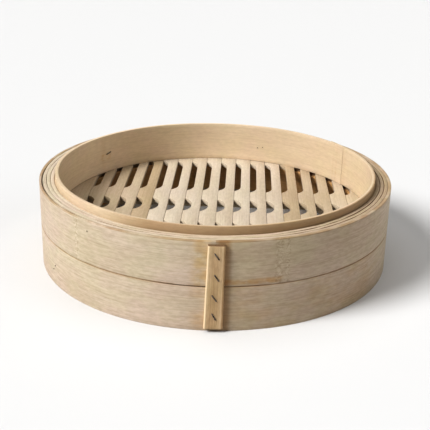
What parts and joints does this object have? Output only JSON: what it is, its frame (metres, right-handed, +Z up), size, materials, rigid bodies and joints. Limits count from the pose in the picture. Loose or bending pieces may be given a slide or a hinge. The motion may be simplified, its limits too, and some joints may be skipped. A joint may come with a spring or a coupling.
{
  "type": "bamboo steamer basket",
  "caption": "Round bamboo steamer tier with a slatted floor, a laminated hoop wall and a raised inner collar that seats the next tier or a lid.",
  "frame": {"origin": "centre of the base, on the basket's axis, in the plane it stands on", "axes": "+Z up along the basket's axis; -Y to the front, where the joint batten is; +X to the right seen from the front"},
  "size_m": [0.2, 0.203, 0.0518],
  "materials": {
    "bamboo_band": "satin planed bamboo",
    "bamboo_filler": "sawn bamboo edge",
    "bamboo_hoop": "satin planed bamboo",
    "bamboo_slat": "dry planed bamboo",
    "bamboo_bar": "split bamboo",
    "bamboo_batten": "split bamboo with the skin on",
    "staple_wire": "dull galvanised wire"
  },
  "bodies": {
    "root": {"collar_hoop": "bamboo_hoop", "support_hoop": "bamboo_hoop", "filler_hoop_inner": "bamboo_filler", "filler_hoop_middle": "bamboo_filler", "filler_hoop_outer": "bamboo_filler", "upper_band": "bamboo_band", "lower_band": "bamboo_band", "joint_batten": "bamboo_batten", "cross_bar_front": "bamboo_bar", "cross_bar_rear": "bamboo_bar", "batten_staples": "staple_wire", "collar_staples": "staple_wire", "support_staples": "staple_wire", "bar_staples": "staple_wire", "floor_slat_01": "bamboo_slat", "floor_slat_02": "bamboo_slat", "floor_slat_03": "bamboo_slat", "floor_slat_04": "bamboo_slat", "floor_slat_05": "bamboo_slat", "floor_slat_06": "bamboo_slat", "floor_slat_07": "bamboo_slat", "floor_slat_08": "bamboo_slat", "floor_slat_09": "bamboo_slat", "floor_slat_10": "bamboo_slat", "floor_slat_11": "bamboo_slat", "floor_slat_12": "bamboo_slat", "floor_slat_13": "bamboo_slat", "floor_slat_14": "bamboo_slat", "floor_slat_15": "bamboo_slat", "floor_slat_16": "bamboo_slat", "floor_slat_17": "bamboo_slat", "floor_slat_18": "bamboo_slat"}
  },
  "joints": []
}
